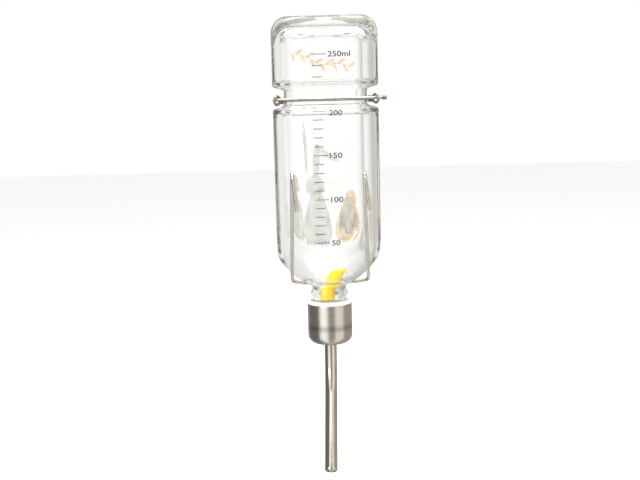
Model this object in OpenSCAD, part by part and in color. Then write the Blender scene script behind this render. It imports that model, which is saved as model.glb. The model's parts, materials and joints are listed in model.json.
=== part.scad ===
// Rabbit water bottle: a square glass bottle, hung neck down outside a wire cage.
// A wire hanger hooks over a cage bar and cradles the neck. A wire band in the body's groove
// carries a cross rod that locks the bottle to the bars. A screw cap holds a bent drinking
// tube with two balls in its tip, and a small duck floats inside to show the water level.
// Frame: the origin is on the cage bar, midway between the hooks. +Z is up, +Y leaves the cage.

/* [Bottle] */
// Width of the square body across its flats
body_w = 56; // [54:1:58]
// Radius of the four upright corners
corner_r = 12; // [11:0.5:13]
// Thickness of the body's wall
wall = 4; // [3.5:0.5:4.5]
// Thickness of the base, which is uppermost in use
base_t = 7; // [6:0.5:8]
// Radius of the edge round the base
heel_r = 9; // [8:0.5:10]
// Height of the base above the cage bar
base_z = 83.5; // [82:0.5:86]
// Gap from the cage bar's centre to the bottle's front face
stand_off = 4.6; // [4.6:0.1:5]

/* [Groove] */
// Height of the groove's middle above the cage bar
groove_z = 41.9; // [41:0.1:43]
// Height of the groove at its mouth
groove_mouth = 13.4; // [12.5:0.1:14]
// Height of the groove at its floor
groove_floor = 9; // [8:0.5:10]
// Depth of the groove
groove_depth = 6; // [5.5:0.5:6]

/* [Neck] */
// Radius of the neck outside
neck_r = 9.3; // [9.2:0.1:9.4]
// Radius of the bore through the neck
bore_r = 6.8; // [6.7:0.1:6.9]
// Radius of the thread's crest
thread_r = 10.1; // [10:0.05:10.2]
// Height of the neck's mouth below the cage bar
mouth_drop = 86; // [86:0.1:86.4]

/* [Cap] */
// Radius of the steel shell outside
shell_r = 12.35; // [12.3:0.05:12.5]
// Thickness of the shell's sheet
shell_t = 0.6; // [0.5:0.05:0.7]
// Radius of the shell's lower edge
shell_edge_r = 5.2; // [4.5:0.1:5.5]
// Height of the white flange that shows above the shell
flange_h = 1.9; // [1.7:0.1:2.1]

/* [Drinking tube] */
// Radius of the tube outside
tube_r = 3.4; // [3.3:0.05:3.5]
// Thickness of the tube's wall
tube_t = 0.5; // [0.4:0.05:0.5]
// Radius of the bend along the tube's centre
bend_r = 40; // [36:1:44]
// Angle that the tube turns forward
bend_angle = 40; // [35:1:42]
// Turn of the spout to the left when the cap is screwed home
spout_turn = 3.5; // [0:0.5:6]
// Length of the straight stretch below the bend
spout_l = 43.6; // [40:0.2:46]
// Radius of the valve balls
ball_r = 2.7; // [2.65:0.01:2.72]

/* [Wires] */
// Radius of the hanger's wire
hanger_r = 0.9; // [0.8:0.05:0.95]
// Radius of each hook round the cage bar, along the wire's centre
hook_r = 3.2; // [3.2:0.05:3.4]
// Spread of the hooks either side of the middle
hook_x = 18.75; // [18:0.25:20]
// Radius of the cradle round the neck, along the wire's centre
cradle_r = 14.5; // [14:0.1:15]
// Radius of the band's wire
band_r = 0.7; // [0.6:0.05:0.75]
// Radius of each eye, along the wire's centre
eye_r = 2.1; // [2.1:0.05:2.3]
// Radius of the cross rod
rod_r = 0.65; // [0.55:0.05:0.65]

/* [Hidden] */
$fn = 48;

half_w = body_w / 2;                     // the body's flats, from its axis
axis_y = stand_off + half_w;             // the bottle's axis, in Y
diag_r = sqrt(2) * (half_w - corner_r) + corner_r;
eps = 0.01;                              // a cutter runs this far past the face it cuts
over = 1;                                // a cutter's spare outside the glass
lap = 0.05;                              // a straight stretch runs this far into the bend beside it
slim = 0.01;                             // and the bend is this much thinner, so that they join cleanly

// Shoulder, between the body and the neck
shoulder_z = -30;
neck_z = -62;
shoulder_power = 1.37;                   // 2 is an ellipse, 1 is a cone
shoulder_steps = 14;
inner_shoulder_z = -29;
funnel_z = -59;                          // the inside of the shoulder meets a short funnel
funnel_h = 4;
funnel_r = bore_r + 3;
mouth_z = -mouth_drop;
bead_r = 10.3;                           // the bead on the neck above the cap
bead_z = -66.7;
bead_h = 3.4;
thread_z = [-74.5, -77.5, -80.5];        // the thread's turns, drawn as rings
ring_r = 1.0;

// Cap
flange_z = -70.4;                        // top of the white flange
shell_top = flange_z - flange_h;
shell_bottom = -95;
play = 0.05;                             // clearance between pieces that are pressed together
liner_r = shell_r - shell_t - play;
thread_bore_r = 10.45;
seal_t = 1.8;
floor_z = mouth_z - 2 * play - seal_t - play;
collar_r = 5.5;
collar_t = 1.2;
liner_bottom = shell_bottom + shell_t + play;
lip_h = 1.2;                             // the shell is drawn down round the tube
lip_r = tube_r + 1.3;

// Drinking tube, from its bend: axis direction, bend's end and mouth
bend_z = shell_bottom - lip_h - 1.3;
tube_in = tube_r - tube_t;
tube_top = mouth_z - play;
spout_dir = [0, -sin(bend_angle), -cos(bend_angle)];
bend_end = [0, axis_y - bend_r * (1 - cos(bend_angle)), bend_z - bend_r * sin(bend_angle)];
mouth_r = 2.2;                           // the rolled lip that the lower ball rests on
roll_r = tube_r - mouth_r;
seat_gap = 0.08;                         // between the ball and the lip
ball_drop = sqrt(pow(ball_r, 2) - pow(mouth_r, 2)) + seat_gap;
ball_gap = 0.1;

// Band and cross rod, in the groove
band_z = 40;
band_half = half_w - groove_depth + band_r + play;
band_corner = corner_r - groove_depth + band_r + play;
eye_turn = 38;                           // the eye's outward turn from the cage's plane
eye_x = 25.2;
shank_bend = 4;
rod_y = -0.6;
rod_z = band_z + 0.35;
rod_left = -27.6;
rod_right = 30.2;
bead_len = 2.4;
bead_out_r = 1.15;

// Hanger
hook_z = 1.5 + hanger_r;                 // the wire's centre over a bar of 3 mm
leg_x = 20.1;
leg_bottom = -54.4;
cradle_front_z = -57.7;                  // the cradle slopes down towards its back
cradle_back_z = -63.5;
tip_z = -17;
tip_kick = 2.2;
arm_y = 15;

// Float, lying tail up in the funnel
float_tilt = 22;
float_head = [-1.2, 0, -67.9];
float_r = 4.4;
float_len = 19;

// A point on a superellipse that runs from (r1, z1) to (r0, z0), at angle t
function shoulder_point(r0, r1, z0, z1, t) =
    [r0 + (r1 - r0) * pow(cos(t), 2 / shoulder_power), z1 + (z0 - z1) * pow(sin(t), 2 / shoulder_power)];

// The same curve as a list, from the body down to the neck
function shoulder_curve(r0, r1, z0, z1) =
    [for (i = [0 : shoulder_steps]) shoulder_point(r0, r1, z0, z1, 90 * i / shoulder_steps)];

// A square with round corners
module rounded_square(half, corner) {
    square([2 * half, 2 * (half - corner)], center = true);
    square([2 * (half - corner), 2 * half], center = true);
    for (x = [-1, 1], y = [-1, 1])
        translate([x, y] * (half - corner)) circle(r = corner);
}

// Carries a profile round a rounded square. The profile's x is the distance out of the flat
module round_the_square(half, corner) {
    flat = half - corner;
    for (turn = [0 : 90 : 270]) rotate([0, 0, turn]) {
        translate([flat, flat, 0]) rotate_extrude(angle = 90) translate([corner, 0]) children();
        translate([half, flat, 0]) rotate([90, 0, 0]) linear_extrude(height = 2 * flat) children();
    }
}

// What an edge of radius r loses at height z
module edge_profile(r, z) {
    difference() {
        translate([-r, z - r]) square([r + over, r + over]);
        translate([-r, z - r]) circle(r = r);
    }
}

// A groove that narrows from its mouth to its floor
module groove_profile(depth, mouth, floor_h) {
    flare = (mouth - floor_h) / 2 / depth * over;
    translate([0, groove_z]) polygon([[-depth, -floor_h / 2], [over, -mouth / 2 - flare],
                                      [over, mouth / 2 + flare], [-depth, floor_h / 2]]);
}

// A straight rod between two points
module rod(from, to, r) {
    run = to - from;
    translate(from) rotate([0, acos(run.z / norm(run)), atan2(run.y, run.x)])
        cylinder(r = r, h = norm(run));
}

// One bend of a wire: into corner p from a, out towards b
module elbow(a, p, b, bend, r) {
    into = (p - a) / norm(p - a);
    out = (b - p) / norm(b - p);
    turn = acos(into * out);
    side = (out - into * cos(turn)) / sin(turn);
    start = p - into * bend * tan(turn / 2);
    centre = start + side * bend;
    up = cross(-side, into);
    multmatrix([[-side.x, into.x, up.x, centre.x], [-side.y, into.y, up.y, centre.y],
                [-side.z, into.z, up.z, centre.z], [0, 0, 0, 1]])
        rotate_extrude(angle = turn) translate([bend, 0]) circle(r = r);
}

// How far a bend's ends lie from its corner
function bend_reach(a, p, b, bend) =
    bend * tan(acos((p - a) * (b - p) / norm(p - a) / norm(b - p)) / 2);

// A wire through corner points, each with a bend radius. The two ends have none
module wire(points, bends, r) {
    last = len(points) - 1;
    reach = [for (i = [0 : last]) (i == 0 || i == last) ? 0
             : bend_reach(points[i - 1], points[i], points[i + 1], bends[i])];
    for (i = [0 : last - 1]) {
        run = points[i + 1] - points[i];
        dir = run / norm(run);
        start_lap = i == 0 ? 0 : lap;
        end_lap = i == last - 1 ? 0 : lap;
        rod(points[i] + dir * (reach[i] - start_lap), points[i + 1] - dir * (reach[i + 1] - end_lap), r);
    }
    for (i = [1 : last - 1])
        elbow(points[i - 1], points[i], points[i + 1], bends[i], r - slim);
}

// Moves a piece that was drawn round Z to the bottle's axis
module on_axis() {
    translate([0, axis_y, 0]) children();
}

// The glass without its hollow
module glass_outside() {
    difference() {
        intersection() {
            translate([0, 0, neck_z]) linear_extrude(height = base_z - neck_z) rounded_square(half_w, corner_r);
            rotate_extrude() polygon(concat(shoulder_curve(neck_r, diag_r + over, neck_z, shoulder_z),
                                            [[0, neck_z], [0, base_z], [diag_r + over, base_z]]));
        }
        round_the_square(half_w, corner_r) edge_profile(heel_r, base_z);
        round_the_square(half_w, corner_r) groove_profile(groove_depth, groove_mouth, groove_floor);
    }
    translate([0, 0, mouth_z]) cylinder(r = neck_r, h = neck_z - mouth_z + over);
    translate([0, 0, bead_z]) cylinder(r = bead_r, h = bead_h, center = true);
    for (z = thread_z)
        translate([0, 0, z]) rotate_extrude() translate([thread_r - ring_r, 0]) circle(r = ring_r);
}

// The hollow inside the glass, open at the mouth
module glass_inside() {
    half_in = half_w - wall;
    corner_in = corner_r - wall;
    diag_in = sqrt(2) * (half_in - corner_in) + corner_in;
    top = base_z - base_t;
    difference() {
        intersection() {
            translate([0, 0, funnel_z]) linear_extrude(height = top - funnel_z) rounded_square(half_in, corner_in);
            rotate_extrude() polygon(concat(shoulder_curve(funnel_r, diag_in + over, funnel_z, inner_shoulder_z),
                                            [[0, funnel_z], [0, top], [diag_in + over, top]]));
        }
        round_the_square(half_in, corner_in) edge_profile(corner_in - 2, top);
        round_the_square(half_in, corner_in) groove_profile(groove_depth - 1.5, groove_mouth + 5, groove_floor + 1);
    }
    translate([0, 0, funnel_z - funnel_h]) cylinder(r1 = bore_r, r2 = funnel_r, h = funnel_h + eps);
    translate([0, 0, mouth_z - over]) cylinder(r = bore_r, h = funnel_z - mouth_z);
}

module bottle_glass() {
    color([0.90, 0.93, 0.93, 0.35]) on_axis() difference() {
        glass_outside();
        glass_inside();
    }
}

// The float: an egg-shaped body, a round head with a flat bill and an upturned tail
module float_duck() {
    body_mid = 9.6;
    half_len = float_len / 2 - 0.6;
    color("gold") translate([float_head.x, axis_y, float_head.z]) rotate([0, float_tilt, 0]) {
        sphere(r = 4);
        translate([0, 0, body_mid]) rotate_extrude() polygon(concat(
            [for (i = [0 : 12]) let (t = 15 * i) [float_r * sin(t), -half_len * cos(t)]]));
        translate([-3.2, 0, 1.2]) rotate([0, -90, 0]) cylinder(r1 = 1.5, r2 = 0.8, h = 1.7);
        translate([1.6, 0, body_mid + 3.5]) rotate([0, 18, 0]) cylinder(r1 = 2.4, r2 = 0.5, h = 7);
    }
}

// The band: one wire round the groove, with an eye at each front corner
module band_wire() {
    back_y = axis_y + band_half;
    turn_y = rod_y + (eye_x - band_half) / tan(eye_turn);
    end_x = eye_x - eye_r * sin(eye_turn);
    end_y = rod_y + eye_r * cos(eye_turn);
    color("silver") {
        wire([[-end_x, end_y, band_z], [-band_half, turn_y, band_z], [-band_half, back_y, band_z],
              [band_half, back_y, band_z], [band_half, turn_y, band_z], [end_x, end_y, band_z]],
             [0, shank_bend, band_corner, band_corner, shank_bend, 0], band_r);
        for (side = [-1, 1])
            translate([side * eye_x, rod_y, band_z]) rotate([0, 0, -side * (90 - eye_turn)])
                rotate([90, 0, 0]) rotate_extrude() translate([eye_r, 0]) circle(r = band_r + slim);
    }
}

module cross_rod() {
    color("silver") translate([rod_left, rod_y, rod_z]) rotate([0, 90, 0])
        cylinder(r = rod_r, h = rod_right - rod_left);
}

// The crimped bead that the rod is drawn out by
module rod_bead() {
    color("darkkhaki") translate([rod_right - bead_len + 0.6, rod_y, rod_z]) rotate([0, 90, 0])
        rotate_extrude() polygon([[rod_r + play, 0], [bead_out_r - 0.3, 0], [bead_out_r, 0.4],
                                  [bead_out_r, bead_len - 0.4], [bead_out_r - 0.3, bead_len], [rod_r + play, bead_len]]);
}

// The hanger: one wire from tip to tip, over the bar twice and round the neck
module hanger_wire() {
    hook_bend = hook_r - play;
    hook_left = [[tip_kick - hook_x, -hook_r, tip_z], [-hook_x, -hook_r, hook_z],
                 [-hook_x, hook_r, hook_z], [-leg_x, hook_r, leg_bottom]];
    cradle = [[-cradle_r, arm_y, cradle_front_z], [-cradle_r, axis_y + cradle_r, cradle_back_z],
              [cradle_r, axis_y + cradle_r, cradle_back_z], [cradle_r, arm_y, cradle_front_z]];
    hook_right = [[leg_x, hook_r, leg_bottom], [hook_x, hook_r, hook_z],
                  [hook_x, -hook_r, hook_z], [tip_kick + hook_x, -hook_r, tip_z]];
    color("silver") wire(concat(hook_left, cradle, hook_right),
                         [0, hook_bend, hook_bend, 3, 9, cradle_r - play, cradle_r - play, 9, 3, hook_bend, hook_bend, 0],
                         hanger_r);
}

// Half of a cup's outline: radius r, with a round lower edge
module cup_profile(r, edge, bottom, top) {
    translate([0, bottom]) square([r - edge, top - bottom]);
    translate([0, bottom + edge]) square([r, top - bottom - edge]);
    translate([r - edge, bottom + edge]) circle(r = edge);
}

// The white screw cap that grips the neck's thread
module cap_liner() {
    edge = shell_edge_r - shell_t - play;
    color("white") on_axis() difference() {
        union() {
            translate([0, 0, shell_top]) cylinder(r = shell_r, h = flange_h);
            rotate_extrude() cup_profile(liner_r, edge, liner_bottom, shell_top + eps);
        }
        translate([0, 0, floor_z]) cylinder(r = thread_bore_r, h = flange_z - floor_z + over);
        translate([0, 0, floor_z - collar_t - play]) cylinder(r = collar_r + play, h = collar_t + over);
        translate([0, 0, liner_bottom - over]) cylinder(r = tube_r + play, h = floor_z - liner_bottom + over);
    }
}

module cap_shell() {
    color("darkgray") on_axis() difference() {
        union() {
            rotate_extrude() cup_profile(shell_r, shell_edge_r, shell_bottom, shell_top - play);
            translate([0, 0, shell_bottom - lip_h]) cylinder(r1 = lip_r - 0.7, r2 = lip_r, h = lip_h + shell_t);
        }
        rotate_extrude() cup_profile(shell_r - shell_t, shell_edge_r - shell_t, shell_bottom + shell_t, shell_top + over);
        translate([0, 0, shell_bottom - lip_h - over]) cylinder(r = tube_r + play, h = lip_h + shell_t + 2 * over);
    }
}

// The washer that the neck's mouth presses on
module cap_seal() {
    color("lightgray") on_axis() translate([0, 0, floor_z + play]) difference() {
        cylinder(r = thread_bore_r - 0.2, h = seal_t);
        translate([0, 0, -over]) cylinder(r = tube_r + 0.4, h = seal_t + 2 * over);
    }
}

// The tube's run at radius r, from height top to a given length past the bend
module tube_run(r, top, length) {
    on_axis() translate([0, 0, bend_z - lap]) cylinder(r = r, h = top - bend_z + lap);
    translate([0, axis_y - bend_r, bend_z]) rotate([90, 0, 90]) rotate([0, 0, -bend_angle])
        rotate_extrude(angle = bend_angle) translate([bend_r, 0]) circle(r = r - slim);
    rod(bend_end - spout_dir * lap, bend_end + spout_dir * length, r);
}

// Turns a piece that is drawn downwards, so that it lies along the spout at a length past the bend
module on_spout(length) {
    translate(bend_end + spout_dir * length) rotate([-bend_angle, 0, 0]) children();
}

// Turns a piece about the bottle's axis, as the cap leaves it when it is screwed home
module screwed_home() {
    on_axis() rotate([0, 0, -spout_turn]) translate([0, -axis_y, 0]) children();
}

module drinking_tube() {
    straight = spout_l - roll_r;
    color("gainsboro") screwed_home() difference() {
        union() {
            tube_run(tube_r, tube_top, straight);
            on_spout(straight) rotate_extrude() difference() {
                union() {
                    translate([0, -roll_r]) square([mouth_r, roll_r + lap]);
                    translate([mouth_r, 0]) circle(r = roll_r - slim);
                }
                translate([-over, lap]) square(2 * tube_r);
                translate([-2 * over, -tube_r]) square([2 * over, 2 * tube_r]);
            }
        }
        tube_run(tube_in, tube_top + over, spout_l - tube_t);
        on_spout(straight) translate([0, 0, -roll_r - over]) cylinder(r = mouth_r, h = roll_r + over);
    }
}

// The ring swaged on the tube, which the washer clamps to the liner's floor
module tube_collar() {
    color("gainsboro") on_axis() translate([0, 0, floor_z - collar_t]) difference() {
        cylinder(r = collar_r, h = collar_t);
        translate([0, 0, -over]) cylinder(r = tube_r + play, h = collar_t + 2 * over);
    }
}

module tip_ball() {
    color("lightgray") screwed_home() on_spout(spout_l - tube_t - ball_drop) sphere(r = ball_r);
}

module upper_ball() {
    color("lightgray") screwed_home() on_spout(spout_l - tube_t - ball_drop - 2 * ball_r - ball_gap) sphere(r = ball_r);
}

bottle_glass();
float_duck();
band_wire();
cross_rod();
rod_bead();
hanger_wire();
cap_liner();
cap_shell();
cap_seal();
drinking_tube();
tube_collar();
tip_ball();
upper_ball();
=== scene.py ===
# %% [markdown]
# # A rabbit's glass water bottle, dressed for the camera
# The bottle hangs neck down outside a wire cage. Its working parts come from the CAD model, which
# is the fixed frame. This lesson rebuilds the surfaces that are seen: thick moulded glass, bent
# nickel wire, a brushed steel cap, a polished tube and a small yellow float. Every surface is a
# function of two parameters, worked out on a grid, so its formula can be read here.

# %% Load the fixed frame
import json
import bpy
import numpy as np
from mathutils import Matrix, Vector


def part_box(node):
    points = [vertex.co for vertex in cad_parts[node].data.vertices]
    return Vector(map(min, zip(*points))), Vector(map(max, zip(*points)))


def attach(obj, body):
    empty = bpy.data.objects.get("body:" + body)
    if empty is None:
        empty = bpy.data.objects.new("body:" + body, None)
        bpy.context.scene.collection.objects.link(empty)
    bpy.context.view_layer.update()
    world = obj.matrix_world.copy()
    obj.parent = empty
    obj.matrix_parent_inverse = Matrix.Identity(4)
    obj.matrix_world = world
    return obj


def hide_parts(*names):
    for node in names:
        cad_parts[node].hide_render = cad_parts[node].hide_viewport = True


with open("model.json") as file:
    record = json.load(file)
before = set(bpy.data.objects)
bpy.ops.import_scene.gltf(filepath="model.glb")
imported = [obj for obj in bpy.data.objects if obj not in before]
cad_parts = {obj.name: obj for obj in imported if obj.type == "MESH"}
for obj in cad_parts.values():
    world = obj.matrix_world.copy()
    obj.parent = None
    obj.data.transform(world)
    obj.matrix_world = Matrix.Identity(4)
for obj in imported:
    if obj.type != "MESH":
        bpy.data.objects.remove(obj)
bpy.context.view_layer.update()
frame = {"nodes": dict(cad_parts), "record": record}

# %% [markdown]
# The pieces are worked out in millimetres, because that is how a bottle maker thinks, and turned
# to metres as the last step. The places that everything hangs on come from the CAD nodes' boxes:
# the bottle's axis, the heights of the neck and base, and the wires' levels.

# %% Places taken from the frame
MM = 0.001
TURN = 2 * np.pi


def around(count):
    """Angles of count points spread evenly round a circle."""
    return np.arange(count) / count * TURN


def box_mm(node):
    """The lowest and highest corner of a CAD node, in millimetres."""
    low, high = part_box(node)
    return np.array(low) / MM, np.array(high) / MM


glass_low, glass_high = box_mm("bottle_glass")
axis_x = (glass_low[0] + glass_high[0]) / 2
axis_y = (glass_low[1] + glass_high[1]) / 2
half_body = (glass_high[0] - glass_low[0]) / 2
base_z = glass_high[2]
front_y = glass_low[1]
print("bottle axis at", round(axis_x, 2), round(axis_y, 2), "half width", round(half_body, 2))

# %% [markdown]
# A grid becomes a mesh in one call: the rings are the rows, and each row closes on itself. The
# ends are shut with a pole, or the last ring is joined to the first where the wall is hollow,
# as on a cup. The sign of the enclosed volume tells whether the faces point outwards.

# %% From a grid of points to a mesh
def add_object(name, data):
    """A new object in the scene, at the origin, that carries this data."""
    piece = bpy.data.objects.new(name, data)
    bpy.context.scene.collection.objects.link(piece)
    return piece


def ring_faces(rows, columns, joined):
    """Quads between neighbouring rings; joined also links the last ring to the first."""
    upper = np.arange(rows if joined else rows - 1)[:, None]
    across = np.arange(columns)[None, :]
    lower = (upper + 1) % rows
    right = (across + 1) % columns
    corners = [upper * columns + across, upper * columns + right,
               lower * columns + right, lower * columns + across]
    return np.stack(corners, axis=-1).reshape(-1, 4)


def ring_uvs(rows, columns, joined):
    """For each quad's corners, the share of the way round and the share of the way along."""
    upper = np.arange(rows if joined else rows - 1)[:, None] + np.zeros((1, columns))
    across = np.arange(columns)[None, :] + np.zeros_like(upper)
    corners = [(across, upper), (across + 1, upper), (across + 1, upper + 1), (across, upper + 1)]
    pairs = [np.stack([u / columns, v / rows], axis=-1) for u, v in corners]
    return np.stack(pairs, axis=2).reshape(-1, 4, 2)


def enclosed(points, quads):
    """Volume inside the quads, as a sum of tetrahedra on the origin."""
    a, b, c, d = (points[quads[:, k]] for k in range(4))
    halves = [np.einsum("ij,ij->i", a, np.cross(*pair)) for pair in ((b, c), (c, d))]
    return (halves[0] + halves[1]).sum() / 6


def surface(name, rings, joined=False):
    """A closed mesh from rings of points, (rows, columns, 3) in mm, with its poles shut."""
    rows, columns, _ = rings.shape
    points = rings.reshape(-1, 3)
    quads = ring_faces(rows, columns, joined)
    uvs = ring_uvs(rows, columns, joined)
    fans = np.empty((0, 3), int)
    fan_uvs = np.empty((0, 3, 2))
    if not joined:
        across = np.arange(columns)
        right = (across + 1) % columns
        last = (rows - 1) * columns
        top, bottom = len(points), len(points) + 1
        points = np.vstack([points, rings[0].mean(0), rings[-1].mean(0)])
        fans = np.vstack([np.stack([right, across, np.full(columns, top)], 1),
                          np.stack([last + across, last + right, np.full(columns, bottom)], 1)])
        share = across / columns
        step = share + 1 / columns
        ends = [np.stack([[step, 0 * share], [share, 0 * share], [share, 0 * share]], 0),
                np.stack([[share, 0 * share + 1], [step, 0 * share + 1], [share, 0 * share + 1]], 0)]
        fan_uvs = np.vstack([end.transpose(2, 0, 1) for end in ends])
    middle = points.mean(0)
    if enclosed(points - middle, quads) < 0:
        quads, uvs, fans, fan_uvs = quads[:, ::-1], uvs[:, ::-1], fans[:, ::-1], fan_uvs[:, ::-1]
    mesh = bpy.data.meshes.new(name)
    mesh.from_pydata((points * MM).tolist(), [], quads.tolist() + fans.tolist())
    layer = mesh.uv_layers.new(name="wrap")
    flat = np.concatenate([uvs.reshape(-1), fan_uvs.reshape(-1)])
    layer.data.foreach_set("uv", flat.astype(np.float32))
    mesh.polygons.foreach_set("use_smooth", np.ones(len(mesh.polygons), bool))
    mesh.update()
    piece = add_object(name, mesh)
    print(f"{name}: {rows} x {columns} grid, {len(mesh.polygons)} faces")
    return piece


def join(name, pieces):
    """One object from several, keeping each one's faces."""
    with bpy.context.temp_override(active_object=pieces[0], selected_editable_objects=pieces):
        bpy.ops.object.join()
    pieces[0].name = name
    pieces[0].data.name = name
    return pieces[0]


# %% [markdown]
# Most edges on this object are soft: glass flows, and sheet metal is pressed. So an outline is
# drawn with its plain corner points, spaced evenly, and then blurred along its own length. The
# blur's width is the size of the rounding, and straight stretches stay straight.

# %% Soft outlines
def distance_along(points):
    """How far along the polyline each of its points lies."""
    return np.concatenate([[0], np.cumsum(np.linalg.norm(np.diff(points, axis=0), axis=1))])


def sampled(points, run, at):
    """The polyline at the distances at, when its own points lie at the distances run."""
    return np.stack([np.interp(at, run, points[:, k]) for k in range(points.shape[1])], axis=1)


def spaced(points, step):
    """The polyline through points, sampled every step along its length."""
    points = np.asarray(points, float)
    run = distance_along(points)
    return sampled(points, run, np.linspace(0, run[-1], max(int(run[-1] / step), 2)))


def blurred(points, width, step, closed=False):
    """The outline averaged along its length with a bell curve of that width."""
    reach = int(np.ceil(3 * width / step))
    bell = np.exp(-0.5 * (np.arange(-reach, reach + 1) * step / width) ** 2)
    bell /= bell.sum()
    if closed:
        padded = np.concatenate([points[-reach:], points, points[:reach]])
    else:
        ahead = 2 * points[-1] - points[-reach - 1:-1][::-1]
        behind = 2 * points[0] - points[1:reach + 1][::-1]
        padded = np.concatenate([behind, points, ahead])
    return np.stack([np.convolve(padded[:, k], bell, "valid") for k in range(points.shape[1])], axis=1)


def arc(centre, radius, start, end, count=16):
    """Points on a circle from angle start to end, in degrees."""
    angle = np.radians(np.linspace(start, end, count))
    return np.stack([centre[0] + radius * np.cos(angle), centre[1] + radius * np.sin(angle)], axis=1)


# %% [markdown]
# ## The glass
# The body is a rounded square that turns into a round shoulder and a threaded neck. A blown
# bottle has no sharp line anywhere, and its look comes from how its thick wall bends the light
# behind it, so the inside surface matters as much as the outside. One way would be to model a
# skin and thicken it. Here both surfaces are written out, because the real inside is rounder
# than the outside and the base is far thicker than the wall. One grid runs from the middle of
# the base, down the outside, round the mouth and up the inside to the middle of the floor.

# %% Cross-sections of the glass
AROUND = 200
theta = around(AROUND) + TURN / 16


def square_radius(angle, half, corner):
    """Distance from the middle to a square with round corners, in the direction angle."""
    across = np.abs(np.cos(angle))
    along = np.abs(np.sin(angle))
    flat = half - corner
    straight = half / np.maximum(across, along)
    short = straight * np.minimum(across, along)
    inside = np.maximum(corner ** 2 - flat ** 2 * (across - along) ** 2, 0)
    rounded = flat * (across + along) + np.sqrt(inside)
    return np.where(short <= flat, straight, rounded)


def soft_min(first, second, blend):
    """The smaller of two values, with the change between them rounded over blend."""
    mix = np.clip(0.5 + 0.5 * (second - first) / blend, 0, 1)
    return second * (1 - mix) + first * mix - blend * mix * (1 - mix)


def groove_share(height, mouth, floor):
    """0 outside the groove, 1 on its floor, with soft lips."""
    rise = (mouth / 2 - np.abs(height)) / ((mouth - floor) / 2)
    rise = np.clip(rise, 0, 1)
    return rise * rise * (3 - 2 * rise)


groove_z = 41.2
groove_outside = (12.4, 7.8)
groove_inside = (16.8, 7.6)
thread_pitch = 3.0
thread_top = -73.2
thread_foot = -82.6


def thread_ridge(angle, height):
    """A helical ridge: a bell-shaped bump wherever height and angle share the same turn."""
    phase = (height / thread_pitch + angle / TURN) % 1.0 - 0.5
    bump = np.exp(-0.5 * (phase * thread_pitch / 0.42) ** 2)
    fade = np.clip((thread_top - height) / 1.2, 0, 1) * np.clip((height - thread_foot) / 1.2, 0, 1)
    return bump * fade


# %% [markdown]
# The outline of each surface is a list of stations. A station holds its height, the half width
# of the square there, the radius of the round form that cuts the square on the shoulder, and a
# scale that closes the flat base to its middle. The shoulder is a superellipse, a curve between
# a cone and an ellipse.

# %% The outline, station by station
ROUND_OFF = 60.0
OUTLINE_STEP = 0.15


def superellipse(radius_wide, z_wide, radius_slim, z_slim, power, count=120):
    """Heights and radii on the shoulder, from the body down to the neck."""
    angle = np.linspace(0, np.pi / 2, count)
    radius = radius_slim + (radius_wide - radius_slim) * np.cos(angle) ** (2 / power)
    height = z_wide + (z_slim - z_wide) * np.sin(angle) ** (2 / power)
    return height, radius


def stations(height, half, round_radius, scale):
    """Rows of height, half width, round radius and scale."""
    columns = [np.atleast_1d(np.asarray(v, float)) for v in (height, half, round_radius, scale)]
    return np.stack(np.broadcast_arrays(*columns), axis=1)


skin = 0.03
half_out = half_body - skin
corner_out = 12.0
heel = 9.0
dish = 1.2
plain_end = -24
neck_r = 9.3
heel_angle = np.radians(np.linspace(78, 0, 40))
dish_scale = np.linspace(0.02, 1, 30)
base_half = half_out - heel * (1 - np.cos(heel_angle[0]))
base_rim = base_z - heel * (1 - np.sin(heel_angle[0]))
dish_height = base_rim - dish * (1 - np.clip(dish_scale * 1.25, 0, 1) ** 3)
wall_z = np.linspace(base_z - heel, plain_end, 700)
shoulder_z, shoulder_r = superellipse(36.3, -28, neck_r, -62, 1.42)
neck_line = np.linspace(-62.2, -84.6, 160)
bead_shape = np.exp(-np.abs((neck_line + 66.7) / 1.75) ** 4)
lip = arc((neck_r - 1.2, -84.7), 1.2, 0, -90, 10)
outside = np.concatenate([
    stations(dish_height, base_half, ROUND_OFF, dish_scale),
    stations(base_z - heel + heel * np.sin(heel_angle), half_out - heel * (1 - np.cos(heel_angle)),
             ROUND_OFF, 1),
    stations(wall_z, half_out - 6.0 * groove_share(wall_z - groove_z, *groove_outside), ROUND_OFF, 1),
    stations(shoulder_z, half_out, shoulder_r, 1),
    stations(neck_line, half_out, neck_r + bead_shape, 1),
    stations(lip[:, 1], half_out, lip[:, 0], 1)])
print("outside outline:", len(outside), "raw stations")

# %% [markdown]
# The inside follows the outside at the wall's thickness, but every corner is rounder, because
# the hot glass was blown against the mould from within. The floor is pushed in at its middle and
# has a wide fillet, so the base is thickest there.

# %% The inside outline, and both rings together
half_in = 24.0
floor_z = base_z - 6.4
fillet = 6.5
push_in = 2.2
bore_r = 6.8
floor_angle = np.radians(np.linspace(0, 90, 40))
inner_wall = np.linspace(plain_end, floor_z - fillet, 700)
inner_z, inner_r = superellipse(31.9, -27.5, 9.8, -59, 1.42)
funnel = np.array([[-59.0, 9.8], [-63.0, 6.9], [-84.9, bore_r]])
to_middle = np.linspace(1, 0.02, 24)
mouth_lip = arc((bore_r + 1.1, -84.9), 1.1, 270, 180, 10)
inside = np.concatenate([
    stations(mouth_lip[:, 1], half_in, mouth_lip[:, 0], 1),
    stations(funnel[::-1, 0], half_in, funnel[::-1, 1], 1),
    stations(inner_z[::-1], half_in, inner_r[::-1], 1),
    stations(inner_wall, half_in - 4.5 * groove_share(inner_wall - groove_z, *groove_inside), ROUND_OFF, 1),
    stations(floor_z - fillet + fillet * np.sin(floor_angle), half_in - fillet * (1 - np.cos(floor_angle)),
             ROUND_OFF, 1),
    stations(floor_z - push_in * (1 - to_middle ** 2), half_in - fillet, ROUND_OFF, to_middle)])


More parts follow.
